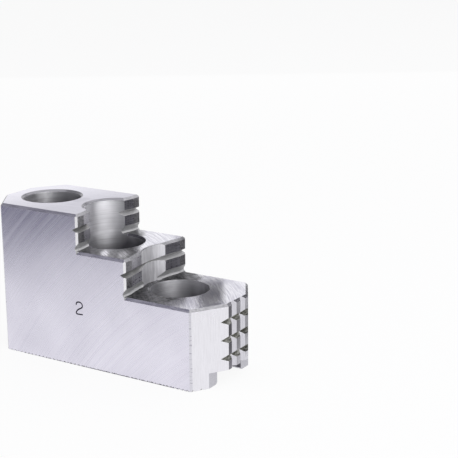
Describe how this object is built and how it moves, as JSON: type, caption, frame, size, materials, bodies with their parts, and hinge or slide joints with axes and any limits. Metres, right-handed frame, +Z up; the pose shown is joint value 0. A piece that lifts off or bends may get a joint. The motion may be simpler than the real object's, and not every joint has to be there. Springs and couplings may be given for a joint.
{
  "type": "hard chuck jaw",
  "caption": "Stepped hard jaw for a lathe chuck, with hollow gripping walls, counterbored bolt holes, toothed ends and a serrated, keyed base.",
  "frame": {"origin": "middle of the jaw's length and width, level with the crests of the base serrations", "axes": "+X along the bolt row towards the low end, +Z up from the serrated base"},
  "size_m": [0.0874, 0.0338, 0.05],
  "materials": {
    "ground_steel": "hardened steel, surface ground with fine curved lay lines"
  },
  "bodies": {
    "root": {"chuck_jaw": "ground_steel"}
  },
  "joints": []
}
